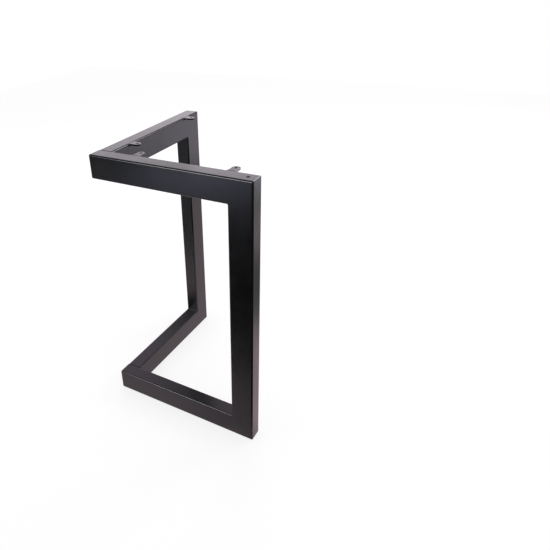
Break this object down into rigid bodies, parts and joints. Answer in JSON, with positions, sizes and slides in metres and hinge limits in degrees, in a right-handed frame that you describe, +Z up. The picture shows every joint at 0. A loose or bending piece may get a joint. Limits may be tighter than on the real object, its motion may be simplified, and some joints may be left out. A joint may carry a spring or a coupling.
{
  "type": "l-shaped bench leg",
  "caption": "Welded rectangular-tube leg, L-shaped in plan: open upright frames meet at a corner, with an upright at each free end and tabs that screw to a bench, table or desk top.",
  "frame": {"origin": "on the floor, under the middle of the square that the leg fills in plan, so the outer corner of the L is at minus half an arm in X and in Y", "axes": "+Z up, +X along the front frame from the outer corner to its free end, +Y along the side frame from the outer corner to its free end"},
  "size_m": [0.43, 0.43, 0.72],
  "materials": {
    "powder_coated_steel": "satin black powder coat"
  },
  "bodies": {
    "root": {"base_corner_bead": "powder_coated_steel", "base_corner_seam": "powder_coated_steel", "base_end_cap": "powder_coated_steel", "base_front_rail": "powder_coated_steel", "base_side_rail": "powder_coated_steel", "front_base_mitre_weld": "powder_coated_steel", "front_inner_tab": "powder_coated_steel", "front_inner_tab_weld": "powder_coated_steel", "front_outer_tab": "powder_coated_steel", "front_outer_tab_weld": "powder_coated_steel", "front_top_mitre_weld": "powder_coated_steel", "front_upright": "powder_coated_steel", "side_base_mitre_weld": "powder_coated_steel", "side_inner_tab": "powder_coated_steel", "side_inner_tab_weld": "powder_coated_steel", "side_outer_tab": "powder_coated_steel", "side_outer_tab_weld": "powder_coated_steel", "side_top_mitre_weld": "powder_coated_steel", "side_upright": "powder_coated_steel", "top_corner_bead": "powder_coated_steel", "top_corner_seam": "powder_coated_steel", "top_end_cap": "powder_coated_steel", "top_front_rail": "powder_coated_steel", "top_side_rail": "powder_coated_steel"}
  },
  "joints": []
}
